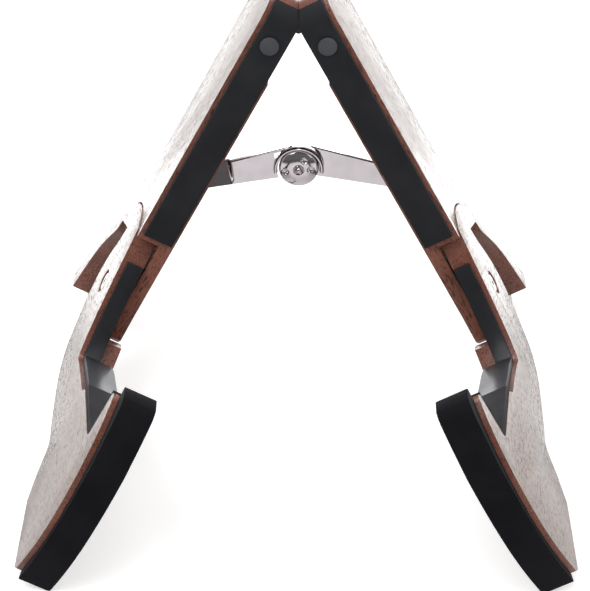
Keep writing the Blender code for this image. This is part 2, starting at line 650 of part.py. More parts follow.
def hinge_leaf(side, black, hinge):
    """Plate in the board's mortise with its knuckles round the pin."""
    rear = REAR_EDGE + LEAF_BACK
    outer = LEAF_SUNK + LEAF_THICKNESS
    low = -PIVOT_DROP + LEAF_DROP
    top = -PIVOT_DROP + PIN_RELIEF
    plate = prism([(top, rear), (top, HINGE_FRONT), (low, HINGE_FRONT), (low, rear)], LEAF_SUNK, outer)
    for start, end in leaf_knuckles(side):
        knuckle = turned([(0, start), (KNUCKLE_RADIUS, start), (KNUCKLE_RADIUS, end), (0, end)], 20)
        knuckle = along_forward(knuckle, -PIVOT_DROP, -HINGE_OFFSET)
        near, far = start + WEB_INSET, end - WEB_INSET
        web = prism([(-PIVOT_DROP, near), (-PIVOT_DROP, far), (-PIVOT_DROP + WEB_REACH, far),
                     (-PIVOT_DROP + WEB_REACH, near)], LEAF_SUNK + WEB_INSET, outer - WEB_INSET)
        plate = united(plate, united(knuckle, web))
    plate = cut(plate, bore_cutter(HINGE_PIN_RADIUS + GAP, 16))
    seat = LEAF_SUNK + SCREW_SUNK
    for down, forward in screw_places():
        hole = turned([(0, -3), (SCREW_HEAD_RADIUS + GAP, -3), (SCREW_HEAD_RADIUS + GAP, seat),
                       (SCREW_RADIUS + GAP, seat), (SCREW_RADIUS + GAP, outer + 1), (0, outer + 1)], 12)
        plate = cut(plate, along_out(hole, down, forward))
    place(name_of(side, "hinge_leaf"), plate, side_matrix(side), black, hinge)


def leaf_screws(side, steel, hinge):
    face = LEAF_SUNK + SCREW_FACE
    under_head = LEAF_SUNK + SCREW_SUNK - GAP
    for number, (down, forward) in enumerate(screw_places(), 1):
        screw = turned([(0, face), (SCREW_HEAD_RADIUS, face), (SCREW_HEAD_RADIUS, under_head),
                        (SCREW_RADIUS, under_head), (SCREW_RADIUS, SCREW_LENGTH - 2), (0, SCREW_LENGTH)], 12)
        along_out(screw, down, forward)
        place(name_of(side, f"leaf_screw_{number}"), screw, side_matrix(side), steel, hinge, 35)


def hinge_pin(steel, hinge):
    rear = REAR_EDGE + LEAF_BACK
    pin = turned([(0, rear), (HINGE_PIN_RADIUS, rear), (HINGE_PIN_RADIUS, HINGE_FRONT), (0, HINGE_FRONT)], 16)
    pin = along_forward(pin, -PIVOT_DROP, -HINGE_OFFSET)
    place("hinge_pin", pin, side_matrix(-1), steel, hinge, 35)


# Lid stay, drawn flat: across runs from the pin to the hub, rise upwards, forward as before

def stay_frame(side):
    """From the link's own plane to the world: x from its pin to the hub, y up, z forward."""
    pin = side_matrix(side) @ Vector(((STAY_DROP - PIVOT_DROP) * MM, STAY_FORWARD * MM, STAY_PIN_OUT * MM))
    hub = Vector((0, pin.y, pin.z + STAY_RISE * MM))
    across = (hub - pin).normalized()
    forward = Vector((0, -1, 0))
    up = forward.cross(across) if side > 0 else across.cross(forward)
    matrix = Matrix.Identity(4)
    for column, vector in enumerate((across, up, forward, pin)):
        for row in range(3):
            matrix[row][column] = vector[row]
    return matrix, pin, hub


def link_outline():
    """A link: round at its pin, crowned over the hub."""
    length = link_length()
    half = LINK_WIDTH / 2
    end = arc((0, 0), half, *LINK_PIN_END, 10)
    top = [(length * 0.45, half + LINK_CROWN * 0.45), (length - 4.0, half + LINK_CROWN - 0.6)]
    hub = arc((length, 0), half + LINK_CROWN, *LINK_HUB_END, 12)
    bottom = [(length - 9.0, -half * 0.9), (length * 0.5, -half * 0.85)]
    return end + top + hub + bottom


def stay_layers():
    """Forward places of the stay's layers, from the back cap to the front cap."""
    pitch = LINK_THICKNESS + GAP
    back_link = -pitch
    front_link = GAP
    return back_link, front_link


def lid_link(side, chrome):
    matrix, pin, _ = stay_frame(side)
    back_link, front_link = stay_layers()
    layer = front_link if side < 0 else back_link
    link = prism(link_outline(), layer, layer + LINK_THICKNESS)
    hole = tube_cutter(STAY_PIN_RADIUS + GAP, -STAY_PIN_LENGTH, STAY_PIN_LENGTH)
    link = cut(link, hole)
    if side < 0:
        bore = tube_cutter(RIVET_RADIUS + GAP, -20, 20)
        bmesh.ops.translate(bore, verts=bore.verts, vec=(link_length() * MM, 0, 0))
        link = cut(link, bore)
    place(name_of(side, "stay_link"), link, matrix, chrome, pin)


def tube_cutter(radius, low, high):
    return turned([(0, low), (radius, low), (radius, high), (0, high)], 20)


def stay_hub(chrome):
    """Caps in front of and behind the links, and the rivet with its domed head."""
    matrix, pin, _ = stay_frame(-1)
    back_link, front_link = stay_layers()
    low = front_link + LINK_THICKNESS + GAP
    high = low + HUB_CAP_THICKNESS
    cap = tube(RIVET_RADIUS + GAP, HUB_CAP_RADIUS, low, high)
    bmesh.ops.translate(cap, verts=cap.verts, vec=(link_length() * MM, 0, 0))
    place("stay_hub_front", cap, matrix, chrome, pin, 35)
    head = high + GAP
    bulge = ((1, 0), (0.85, 0.55), (0.5, 0.9))
    dome = [(RIVET_HEAD_RADIUS * across, head + RIVET_HEAD * up) for across, up in bulge]
    rivet = turned([(0, front_link), (RIVET_RADIUS, front_link), (RIVET_RADIUS, head)] + dome
                   + [(0, head + RIVET_HEAD)])
    bmesh.ops.translate(rivet, verts=rivet.verts, vec=(link_length() * MM, 0, 0))
    place("stay_rivet", rivet, matrix, chrome, pin, 60)
    right_matrix, right_pin, _ = stay_frame(1)
    back = back_link - GAP - HUB_CAP_THICKNESS
    cap = turned([(0, back), (HUB_CAP_RADIUS, back), (HUB_CAP_RADIUS, back + HUB_CAP_THICKNESS),
                  (0, back + HUB_CAP_THICKNESS)])
    bmesh.ops.translate(cap, verts=cap.verts, vec=(link_length() * MM, 0, 0))
    place("stay_hub_back", cap, right_matrix, chrome, right_pin, 35)


def stay_pin(side, steel, hinge):
    half = STAY_PIN_LENGTH / 2
    pin = turned([(0, -half), (STAY_PIN_RADIUS, -half), (STAY_PIN_RADIUS, half), (0, half)], 16)
    pin = along_forward(pin, STAY_DROP - PIVOT_DROP, STAY_PIN_OUT)
    bmesh.ops.translate(pin, verts=pin.verts, vec=(0, STAY_FORWARD * MM, 0))
    place(name_of(side, "stay_pin"), pin, side_matrix(side), steel, hinge, 35)


def name_of(side, piece):
    return ("left_" if side < 0 else "right_") + piece


def build():
    clear_scene()
    wood = material("wood", (0.21, 0.085, 0.05), 0.5)
    foam = material("foam", (0.018, 0.018, 0.02), 0.75)
    rubber = material("bumper rubber", (0.07, 0.065, 0.08), 0.6)
    chrome = material("chrome", (0.75, 0.74, 0.76), 0.12, 1.0)
    steel = material("steel", (0.42, 0.42, 0.43), 0.35, 1.0)
    black = material("black hinge", (0.02, 0.02, 0.022), 0.45, 0.6)
    fibre = material("fibre washer", (0.12, 0.1, 0.08), 0.8)
    brass = material("brass insert", (0.6, 0.45, 0.2), 0.35, 1.0)
    hinge = hinge_centre()
    for side in (-1, 1):
        pivot = side_matrix(side).to_translation()
        side_board(side, wood, hinge)
        support_arm(side, wood, pivot)
        board_foam(side, foam, hinge)
        arm_foam(side, foam, pivot)
        cradle_pad(side, foam, pivot)
        bow_foam(side, foam, pivot)
        bumper(side, rubber, hinge)
        pivot_hardware(side, steel, fibre, brass, pivot)
        hinge_leaf(side, black, hinge)
        leaf_screws(side, steel, hinge)
        lid_link(side, chrome)
        stay_pin(side, steel, hinge)
    hinge_pin(steel, hinge)
    stay_hub(chrome)


build()
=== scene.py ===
"""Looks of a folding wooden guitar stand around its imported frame.

Every length is in metres. The sides mirror each other, so each class builds for one side at a time and
takes the side's directions from the joint of its support arm.
"""

from __future__ import annotations

import json
import logging
import math
from dataclasses import dataclass, field
from enum import Enum

import bpy
from mathutils import Matrix, Vector

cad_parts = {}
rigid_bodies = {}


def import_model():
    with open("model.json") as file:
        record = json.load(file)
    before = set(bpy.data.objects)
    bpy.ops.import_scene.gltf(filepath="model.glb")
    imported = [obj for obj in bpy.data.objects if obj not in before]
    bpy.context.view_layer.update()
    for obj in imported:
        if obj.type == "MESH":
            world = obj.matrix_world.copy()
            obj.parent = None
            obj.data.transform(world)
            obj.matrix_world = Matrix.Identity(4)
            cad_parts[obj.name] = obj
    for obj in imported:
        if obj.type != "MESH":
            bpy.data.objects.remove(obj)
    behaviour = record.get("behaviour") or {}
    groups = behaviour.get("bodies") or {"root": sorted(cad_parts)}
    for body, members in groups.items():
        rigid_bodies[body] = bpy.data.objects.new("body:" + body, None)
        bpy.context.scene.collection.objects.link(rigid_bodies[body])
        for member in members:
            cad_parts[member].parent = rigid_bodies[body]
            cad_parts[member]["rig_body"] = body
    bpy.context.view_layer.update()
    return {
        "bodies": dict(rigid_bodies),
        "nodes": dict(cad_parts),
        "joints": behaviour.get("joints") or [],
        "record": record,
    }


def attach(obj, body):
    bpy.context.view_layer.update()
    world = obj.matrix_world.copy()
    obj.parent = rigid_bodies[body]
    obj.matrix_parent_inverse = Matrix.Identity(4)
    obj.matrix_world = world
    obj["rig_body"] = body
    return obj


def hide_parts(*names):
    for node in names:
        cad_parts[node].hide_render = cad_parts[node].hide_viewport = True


LOG = logging.getLogger("guitar stand")
Colour = tuple[float, float, float]
IMAGE_WIDTH = 590
MM = 0.001


class Side(Enum):
    """The two mirrored halves of the stand."""

    LEFT = -1
    RIGHT = 1

    @property
    def word(self) -> str:
        """The side's name in the names of pieces and bodies."""
        return self.name.lower()


class Grain(Enum):
    """What the grain of a wooden piece runs along."""

    DOWN = "down the slope"
    FORWARD = "towards the player"


@dataclass(frozen=True)
class Plane:
    """The plane of one wooden side.

    Attributes:
        pivot: A point on the axis of the support arm.
        down: Along the board, away from the top hinge.
        forward: Towards the player.
        out: From the inner face to the outer one.
    """

    pivot: Vector
    down: Vector
    forward: Vector
    out: Vector

    @classmethod
    def of(cls, frame: dict, side: Side) -> Plane:
        """Reads a side's plane from the joint of its arm.

        Args:
            side: Which half.

        Returns:
            The side's plane at rest.
        """
        joint = next(j for j in frame["joints"] if j["name"] == f"{side.word}_arm_swing")
        out = Vector(joint["axis"]).normalized() * -side.value
        forward = Vector((0.0, -1.0, 0.0))
        down = out.cross(forward) * side.value
        if down.z > 0:
            down = -down
        return cls(Vector(joint["pos_m"]), down, forward, out)

    def turn_for(self, grain: Grain) -> tuple[float, float, float]:
        """The turn that lays the grain along a pattern's X and the plane's out along its Z.

        Args:
            grain: Which way the grain runs.

        Returns:
            Euler angles for a Mapping node.
        """
        along, across = (self.down, self.forward) if grain is Grain.DOWN else (self.forward, self.down)
        rows = Matrix((along, across, self.out))
        if rows.determinant() < 0:
            rows = Matrix((along, -across, self.out))
        return tuple(rows.to_euler())


class Recipe:
    """Puts shader nodes into a tree with short calls."""

    def __init__(self, tree: bpy.types.NodeTree) -> None:
        """Keeps the tree.

        Args:
            tree: A material's or a group's node tree.
        """
        self.tree = tree

    def add(self, kind: str, settings: dict | None = None, **sockets: object) -> bpy.types.Node:
        """Adds a node.

        Args:
            kind: The node's type, such as ShaderNodeBump.
            settings: Properties of the node itself.
            sockets: Input sockets by name, with _ for a space: a value, or an output socket to link.

        Returns:
            The new node.
        """
        node = self.tree.nodes.new(kind)
        for name, value in (settings or {}).items():
            setattr(node, name, value)
        for name, value in sockets.items():
            socket = node.inputs[name.replace("_", " ")]
            if isinstance(value, bpy.types.NodeSocket):
                self.tree.links.new(value, socket)
            else:
                socket.default_value = value
        return node

    def math(self, operation: str, first: object, second: object = 0.5) -> bpy.types.NodeSocket:
        """Adds a Math node.

        Args:
            operation: Its operation.
            first: Its first value or the socket that feeds it.
            second: Its second one.

        Returns:
            The result's socket.
        """
        node = self.tree.nodes.new("ShaderNodeMath")
        node.operation = operation
        for socket, value in zip(node.inputs, (first, second)):
            if isinstance(value, bpy.types.NodeSocket):
                self.tree.links.new(value, socket)
            else:
                socket.default_value = value
        return node.outputs[0]

    def mix(self, amount: object, first: object, second: object) -> bpy.types.NodeSocket:
        """Mixes two colours.

        Args:
            amount: The share of the second one.
            first: A colour or the socket that feeds it.
            second: The other.

        Returns:
            The mixed colour's socket.
        """
        node = self.tree.nodes.new("ShaderNodeMix")
        node.data_type = "RGBA"
        for socket, value in ((node.inputs[0], amount), (node.inputs[6], first), (node.inputs[7], second)):
            if isinstance(value, bpy.types.NodeSocket):
                self.tree.links.new(value, socket)
            elif isinstance(value, tuple) and len(value) == 3:
                socket.default_value = (*value, 1.0)
            else:
                socket.default_value = value
        return node.outputs[2]

    def steps(self, value: bpy.types.NodeSocket, low: float, high: float) -> bpy.types.NodeSocket:
        """A smooth step from 0 at low to 1 at high.

        Args:
            value: What is read.
            low: Where it leaves 0.
            high: Where it reaches 1.

        Returns:
            The step's socket.
        """
        node = self.add("ShaderNodeMapRange", {"interpolation_type": "SMOOTHSTEP"}, Value=value)
        node.inputs["From Min"].default_value = low
        node.inputs["From Max"].default_value = high
        return node.outputs["Result"]


class Effects:
    """Shader groups that several finishes share, each made once."""

    _made: dict[str, bpy.types.NodeTree] = {}

    @classmethod
    def _group(cls, name: str, inputs: dict[str, object], outputs: dict[str, str]) -> tuple[Recipe, dict, dict]:
        """Starts a group with its named sockets.

        Args:
            name: The group's name.
            inputs: Names and default values; a tuple is a colour and None a vector.
            outputs: Names and socket types.

        Returns:
            The recipe that fills it, its input sockets and its output sockets.
        """
        tree = bpy.data.node_groups.new(name, "ShaderNodeTree")
        for label, value in inputs.items():
            kind = "NodeSocketVector" if value is None else "NodeSocketFloat"
            kind = "NodeSocketColor" if isinstance(value, tuple) else kind
            socket = tree.interface.new_socket(label, in_out="INPUT", socket_type=kind)
            if isinstance(value, tuple):
                socket.default_value = (*value, 1.0)
            elif value is not None:
                socket.default_value = value
        for label, kind in outputs.items():
            tree.interface.new_socket(label, in_out="OUTPUT", socket_type=kind)
        start = tree.nodes.new("NodeGroupInput")
        end = tree.nodes.new("NodeGroupOutput")
        cls._made[name] = tree
        return Recipe(tree), start.outputs, end.inputs

    @classmethod
    def wood_grain(cls) -> bpy.types.NodeTree:
        """Open-pored wood, its grain along the vector's X.

        Returns:
            A group with Color, Rough and Height.
        """
        if "wood grain" in cls._made:
            return cls._made["wood grain"]
        recipe, given, put = cls._group(
            "wood grain",
            {"Vector": None, "Pale": (0.4, 0.2, 0.12), "Dark": (0.1, 0.04, 0.02), "Pore": (0.03, 0.01, 0.01),
             "Figure": 0.5, "Pore Strength": 0.7},
            {"Color": "NodeSocketColor", "Rough": "NodeSocketFloat", "Height": "NodeSocketFloat"},
        )
        bend = recipe.add("ShaderNodeTexNoise", {"noise_dimensions": "3D"}, Vector=given["Vector"], Scale=9.0, Detail=2.0)
        lean = recipe.add("ShaderNodeVectorMath", {"operation": "SCALE"}, Vector=bend.outputs["Color"], Scale=0.012)
        bent = recipe.add("ShaderNodeVectorMath", {"operation": "ADD"})
        recipe.tree.links.new(given["Vector"], bent.inputs[0])
        recipe.tree.links.new(lean.outputs[0], bent.inputs[1])

        def streaks(length: float, scale: float, detail: float) -> bpy.types.NodeSocket:
            """Noise drawn out along the grain; length is the stretch and scale the fineness across."""
            drawn = recipe.add("ShaderNodeMapping", Vector=bent.outputs[0], Scale=(1.0 / length, 1.0, 1.0))
            noise = recipe.add("ShaderNodeTexNoise", Vector=drawn.outputs[0], Scale=scale, Detail=detail, Roughness=0.6)
            return noise.outputs["Fac"]

        figure = streaks(7.0, 70.0, 3.0)
        fibre = streaks(28.0, 900.0, 3.0)
        pore = recipe.steps(streaks(7.0, 1500.0, 2.0), 0.53, 0.62)
        tone = recipe.math("MULTIPLY", recipe.steps(figure, 0.3, 0.7), given["Figure"])
        tone = recipe.math("ADD", tone, recipe.math("MULTIPLY", fibre, 0.55))
        body = recipe.mix(tone, given["Pale"], given["Dark"])
        sunk = recipe.math("MULTIPLY", pore, given["Pore Strength"])
        recipe.tree.links.new(recipe.mix(sunk, body, given["Pore"]), put["Color"])
        recipe.tree.links.new(sunk, put["Rough"])
        height = recipe.math("SUBTRACT", recipe.math("MULTIPLY", fibre, 0.35), sunk)
        recipe.tree.links.new(height, put["Height"])
        return recipe.tree

    @classmethod
    def cells(cls) -> bpy.types.NodeTree:
        """The fine closed cells of cut foam or moulded rubber.

        Returns:
            A group with Shade and Height.
        """
        if "cells" in cls._made:
            return cls._made["cells"]
        recipe, given, put = cls._group(
            "cells", {"Vector": None, "Size": 0.0004}, {"Shade": "NodeSocketFloat", "Height": "NodeSocketFloat"}
        )
        fineness = recipe.math("DIVIDE", 1.0, given["Size"])
        cell = recipe.add("ShaderNodeTexVoronoi", {"feature": "SMOOTH_F1"}, Vector=given["Vector"], Scale=fineness)
        cloud = recipe.add("ShaderNodeTexNoise", Vector=given["Vector"], Scale=45.0, Detail=4.0)
        recipe.tree.links.new(cell.outputs["Distance"], put["Height"])
        recipe.tree.links.new(recipe.steps(cloud.outputs["Fac"], 0.3, 0.7), put["Shade"])
        return recipe.tree

    @classmethod
    def handling(cls) -> bpy.types.NodeTree:
        """Faint smears and fine scratches of a handled metal surface.

        Returns:
            A group with Smear and Height.
        """
        if "handling" in cls._made:
            return cls._made["handling"]
        recipe, given, put = cls._group(
            "handling", {"Vector": None}, {"Smear": "NodeSocketFloat", "Height": "NodeSocketFloat"}
        )
        cloud = recipe.add("ShaderNodeTexNoise", Vector=given["Vector"], Scale=120.0, Detail=5.0)
        drawn = recipe.add("ShaderNodeMapping", Vector=given["Vector"], Scale=(0.05, 1.0, 1.0))
        scratch = recipe.add("ShaderNodeTexNoise", Vector=drawn.outputs[0], Scale=3500.0, Detail=2.0)
        recipe.tree.links.new(recipe.steps(cloud.outputs["Fac"], 0.35, 0.75), put["Smear"])
        recipe.tree.links.new(scratch.outputs["Fac"], put["Height"])
        return recipe.tree


class Finish:
    """What every finish can do: make its material once and put it on a piece."""

    _materials: dict[str, bpy.types.Material] = {}

    def paint(self, obj: bpy.types.Object, slot: str) -> None:
        """Puts the finish on a piece, in place of what it has.

        Args:
            obj: The piece.
            slot: The record's material slot that it stands for; not used.
        """
        obj.data.materials.clear()
        obj.data.materials.append(self.material())

    def material(self) -> bpy.types.Material:
        """The finish's material, made at its first use."""
        if self.name not in Finish._materials:
            made = bpy.data.materials.new(self.name)
            made.use_nodes = True
            self.fill(Recipe(made.node_tree), made.node_tree.nodes["Principled BSDF"])
            Finish._materials[self.name] = made
        return Finish._materials[self.name]

    @staticmethod
    def coordinates(recipe: Recipe) -> bpy.types.NodeSocket:
        """The piece's own coordinates, in metres."""
        return recipe.add("ShaderNodeTexCoord").outputs["Object"]


@dataclass(frozen=True)
class WoodFinish(Finish):
    """Oiled and lacquered reddish-brown hardwood.

    Attributes:
        name: The material's name.
        turn: The turn that lays the grain along X.
        pale: Colour of the light grain.
        dark: Colour of the dark grain.
        pore: Colour inside the pores.
        figure: How strongly broad bands show.
        pores: How strongly the pores show.
        roughness: Of the bare wood.
        face_lacquer: Weight of the clear coat on the broad faces.
        edge_lacquer: The same on the edges.
        top_lacquer: The coat's weight on edges that face up, a painted sheen that makes them shine pale.
        weathered: What the broad faces' colour leans to, a grey-beige painted sheen in place of the glare they catch.
        leaning: How far it does.
        fade: How much the coat thins towards the front end, a painted shade that dims the reflection there.
        relief: Depth of the open pores.
    """

    name: str
    turn: tuple[float, float, float]
    out: tuple[float, float, float]
    pale: Colour = (0.240, 0.086, 0.054)
    dark: Colour = (0.085, 0.026, 0.016)
    pore: Colour = (0.025, 0.010, 0.008)
    figure: float = 0.45
    pores: float = 0.75
    roughness: float = 0.45
    face_lacquer: float = 1.0
    edge_lacquer: float = 0.12
    top_lacquer: float = 0.8
    weathered: Colour = (0.118, 0.115, 0.096)
    leaning: float = 0.6
    fade: float = 0.0
    relief: float = 0.00006

    def fill(self, recipe: Recipe, shader: bpy.types.Node) -> None:
        """Builds the nodes.

        Args:
            recipe: Fills the material's tree.
            shader: The tree's Principled BSDF.
        """
        laid = recipe.add("ShaderNodeMapping", Vector=self.coordinates(recipe), Rotation=self.turn)
        grain = recipe.add("ShaderNodeGroup", {"node_tree": Effects.wood_grain()}, Vector=laid.outputs[0],
                           Pale=(*self.pale, 1.0), Dark=(*self.dark, 1.0), Pore=(*self.pore, 1.0),
                           Figure=self.figure, Pore_Strength=self.pores)
        bump = recipe.add("ShaderNodeBump", Height=grain.outputs["Height"], Distance=self.relief, Strength=1.0)
        rough = recipe.math("ADD", recipe.math("MULTIPLY", grain.outputs["Rough"], 0.3), self.roughness)
        facing = recipe.add("ShaderNodeVectorMath", {"operation": "DOT_PRODUCT"})
        facing.inputs[1].default_value = self.out
        normal = recipe.add("ShaderNodeTexCoord").outputs["Normal"]
        links = recipe.tree.links
        links.new(normal, facing.inputs[0])
        broad = recipe.steps(recipe.math("ABSOLUTE", facing.outputs["Value"]), 0.75, 0.97)
        along = recipe.add("ShaderNodeSeparateXYZ", Vector=laid.outputs[0]).outputs["X"]
        # Painted shade: the coat thins towards the front end, so that end reflects less and reads darker.
        worn = recipe.math("MULTIPLY", recipe.steps(along, 0.03, 0.10), self.fade)
        face = recipe.math("MULTIPLY", broad, recipe.math("SUBTRACT", self.face_lacquer - self.edge_lacquer, worn))
        # Painted sheen: edges that face up get a heavier coat, so they shine as if lit from above.
        height = recipe.add("ShaderNodeSeparateXYZ", Vector=normal).outputs["Z"]
        top = recipe.math("MULTIPLY", recipe.steps(height, 0.6, 0.85), self.top_lacquer)
        coat = recipe.math("MAXIMUM", recipe.math("ADD", face, self.edge_lacquer), top)
        open_pores = recipe.math("SUBTRACT", 1.0, recipe.math("MULTIPLY", grain.outputs["Rough"], 1.1))
        links.new(recipe.math("MULTIPLY", coat, open_pores), shader.inputs["Coat Weight"])
        # Painted sheen: the broad faces' colour is greyed towards a pale beige in place of the glare they catch.
        grey = recipe.math("MULTIPLY", broad, self.leaning)
        grey = recipe.math("MULTIPLY", grey, open_pores)
        links.new(recipe.mix(grey, grain.outputs["Color"], self.weathered), shader.inputs["Base Color"])
        links.new(rough, shader.inputs["Roughness"])
        links.new(bump.outputs["Normal"], shader.inputs["Normal"])
        shader.inputs["Specular IOR Level"].default_value = 0.25
        shader.inputs["Coat Roughness"].default_value = 0.16
        shader.inputs["Coat IOR"].default_value = 1.6


@dataclass(frozen=True)
class FoamFinish(Finish):
    """Black closed-cell foam or moulded rubber.

    Attributes:
        name: The material's name.
        base: Its colour.
        worn: Its colour where it is dusty or rubbed.
        roughness: Of its skin.
        cell: Width of a cell.
        relief: Depth of the cells.
        shine: Specular level.
        skin: Weight of a bluish clear coat on what faces up, a painted sheen.
    """

    name: str
    base: Colour = (0.0065, 0.0068, 0.0085)
    worn: Colour = (0.0125, 0.013, 0.0155)
    roughness: float = 0.62
    cell: float = 0.00035
    relief: float = 0.00005
    shine: float = 0.15
    skin: float = 0.0

    def fill(self, recipe: Recipe, shader: bpy.types.Node) -> None:
        """Builds the nodes.

        Args:
            recipe: Fills the material's tree.
            shader: The tree's Principled BSDF.
        """
        cells = recipe.add("ShaderNodeGroup", {"node_tree": Effects.cells()}, Vector=self.coordinates(recipe),
                           Size=self.cell)
        bump = recipe.add("ShaderNodeBump", Height=cells.outputs["Height"], Distance=self.relief, Strength=0.8)
        rough = recipe.math("ADD", recipe.math("MULTIPLY", cells.outputs["Shade"], 0.08), self.roughness)
        links = recipe.tree.links
        links.new(recipe.mix(cells.outputs["Shade"], self.base, self.worn), shader.inputs["Base Color"])
        links.new(rough, shader.inputs["Roughness"])
        links.new(bump.outputs["Normal"], shader.inputs["Normal"])
        shader.inputs["Specular IOR Level"].default_value = self.shine
        # Painted sheen: a bluish coat on what faces up makes those faces shine pale.
        height = recipe.add("ShaderNodeSeparateXYZ", Vector=recipe.add("ShaderNodeTexCoord").outputs["Normal"])
        upward = recipe.math("MULTIPLY", recipe.steps(height.outputs["Z"], 0.3, 0.8), self.skin)
        links.new(upward, shader.inputs["Coat Weight"])
        shader.inputs["Coat Roughness"].default_value = 0.24
        shader.inputs["Coat Tint"].default_value = (0.86, 0.91, 1.0, 1.0)


@dataclass(frozen=True)
class MetalFinish(Finish):
    """Polished, plated or painted metal.

    Attributes:
        name: The material's name.
        base: Its colour.
        smeared: Its colour where it is handled.
        roughness: Where it is clean.
        dulling: What a smear adds to the roughness.
        metallic: 1 for bare metal, less for paint.
        relief: Depth of the scratches.
    """

    name: str
    base: Colour
    smeared: Colour
    roughness: float
    dulling: float = 0.06
    metallic: float = 1.0
    relief: float = 0.000002

    def fill(self, recipe: Recipe, shader: bpy.types.Node) -> None:
        """Builds the nodes.

        Args:
            recipe: Fills the material's tree.
            shader: The tree's Principled BSDF.
        """
        marks = recipe.add("ShaderNodeGroup", {"node_tree": Effects.handling()}, Vector=self.coordinates(recipe))
        bump = recipe.add("ShaderNodeBump", Height=marks.outputs["Height"], Distance=self.relief, Strength=0.4)
        rough = recipe.math("ADD", recipe.math("MULTIPLY", marks.outputs["Smear"], self.dulling), self.roughness)
        links = recipe.tree.links
        links.new(recipe.mix(marks.outputs["Smear"], self.base, self.smeared), shader.inputs["Base Color"])
        links.new(rough, shader.inputs["Roughness"])
        links.new(bump.outputs["Normal"], shader.inputs["Normal"])
        shader.inputs["Metallic"].default_value = self.metallic


CHROME = MetalFinish("chrome plate", (0.53, 0.49, 0.51), (0.48, 0.445, 0.465), 0.07, 0.08)
ZINC = MetalFinish("zinc plate", (0.50, 0.50, 0.51), (0.42, 0.42, 0.43), 0.28, 0.1)
BRASS = MetalFinish("plain brass", (0.62, 0.46, 0.20), (0.48, 0.34, 0.14), 0.3, 0.1)
BLACK_STEEL = MetalFinish("dark hinge bronze", (0.060, 0.026, 0.022), (0.085, 0.038, 0.032), 0.34, 0.1, 0.7)
FIBRE = FoamFinish("pressed fibre", (0.10, 0.08, 0.06), (0.13, 0.105, 0.08), 0.8)
FOAM = FoamFinish("black foam", (0.0095, 0.0100, 0.0122), (0.0150, 0.0155, 0.0182))
# A darker, duller copy of the same black foam for the bow and cradle pads: painted shade, with less shine so they
# mirror less light.
BOW_FOAM = FoamFinish("black bow foam", (0.0048, 0.0048, 0.0060), (0.0075, 0.0075, 0.0092), shine=0.04)
# The cradle floor's foam, with a painted sheen where it faces up.
CRADLE_FOAM = FoamFinish("black cradle foam", skin=0.45)
BUMPER = FoamFinish("grey bumper rubber", (0.046, 0.047, 0.054), (0.055, 0.056, 0.063), 0.55, 0.0006, 0.00002)


def alone(obj: bpy.types.Object) -> None:
    """Selects one object and nothing else.

    Args:
        obj: The object that the next operator works on.
    """
    bpy.ops.object.select_all(action="DESELECT")
    obj.select_set(True)
    bpy.context.view_layer.objects.active = obj


def bevelled_copy(frame: dict, node: str, name: str, width: float, segments: int = 3) -> bpy.types.Object:
    """A merged copy of a CAD node with eased arrises, which stands for it.

    Args:
        node: The node's name.
        name: The new piece's name.
        width: How far an arris is eased.
        segments: Faces across the eased arris.

    Returns:
        The new piece, riding on the node's body.
    """
    source = frame["nodes"][node]
    piece = bpy.data.objects.new(name, source.data.copy())
    bpy.context.scene.collection.objects.link(piece)
    alone(piece)
    bpy.ops.object.mode_set(mode="EDIT")
    bpy.ops.mesh.select_all(action="SELECT")
    bpy.ops.mesh.remove_doubles(threshold=0.00002)
    bpy.ops.mesh.dissolve_limited(angle_limit=math.radians(0.6))
    bpy.ops.object.mode_set(mode="OBJECT")
    bevel = piece.modifiers.new("eased arrises", "BEVEL")
    bevel.width = width
    bevel.segments = segments
    bevel.limit_method = "ANGLE"
    bevel.angle_limit = math.radians(40.0)
    bevel.miter_outer = "MITER_ARC"
    bpy.ops.object.modifier_apply(modifier=bevel.name)
    bpy.ops.object.shade_smooth_by_angle(angle=math.radians(38.0))
    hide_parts(node)
    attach(piece, source["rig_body"])
    return piece


@dataclass
class WoodenSide:
    """One side's board and support arm.

    Attributes:
        side: Which half.
        arris: How far the wood's arrises are eased.
        wear: How much of an arm's coat thins at its front end, a painted shade that darkens that end.
        grains: What each piece's grain runs along.
    """

    frame: dict
    side: Side
    arris: float = 0.7 * MM
    wear: float = 0.3
    grains: dict[str, Grain] = field(default_factory=lambda: {"side_board": Grain.DOWN, "support_arm": Grain.FORWARD})

    def build(self) -> None:
        """Makes both wooden pieces and paints them."""
        plane = Plane.of(self.frame, self.side)
        for part, grain in self.grains.items():
            node = f"{self.side.word}_{part}"
            piece = bevelled_copy(self.frame, node, f"{node}_wood", self.arris)
            # Painted shade: only the arms get a thinner coat towards their front end.
            fade = self.wear if part == "support_arm" else 0.0
            WoodFinish(f"{node} wood", plane.turn_for(grain), tuple(plane.out), fade=fade).paint(piece, "wood")
            LOG.info("%s: %d faces", piece.name, len(piece.data.polygons))


@dataclass
class Padding:
    """One side's foam strips, pads and bumper.

    Attributes:
        side: Which half.
        softness: How far the cut edges of the foam are rounded.
        strips: The nodes' names without the side.
        sheened: Those that the guitar rests on, given a painted sheen where they face up.
    """

    frame: dict
    side: Side
    softness: float = 0.45 * MM
    strips: tuple[str, ...] = ("board_foam", "arm_foam", "cradle_pad", "bow_foam")
    trodden: tuple[str, ...] = ("arm_foam",)

    def build(self) -> None:
        """Makes the strips and the bumper."""
        for part in self.strips:
            node = f"{self.side.word}_{part}"
            piece = bevelled_copy(self.frame, node, f"{node}_strip", self.softness)
            # The strips the guitar rests on get the painted sheen; the pads get the darker foam copy, a painted shade.
            finish = CRADLE_FOAM if part in self.trodden else FOAM if part == "board_foam" else BOW_FOAM
            finish.paint(piece, "foam")
            LOG.info("%s: %d faces", piece.name, len(piece.data.polygons))
        node = f"{self.side.word}_bumper"
        piece = bevelled_copy(self.frame, node, f"{node}_dot", 0.3 * MM)
        BUMPER.paint(piece, "bumper")
        LOG.info("%s", piece.name)


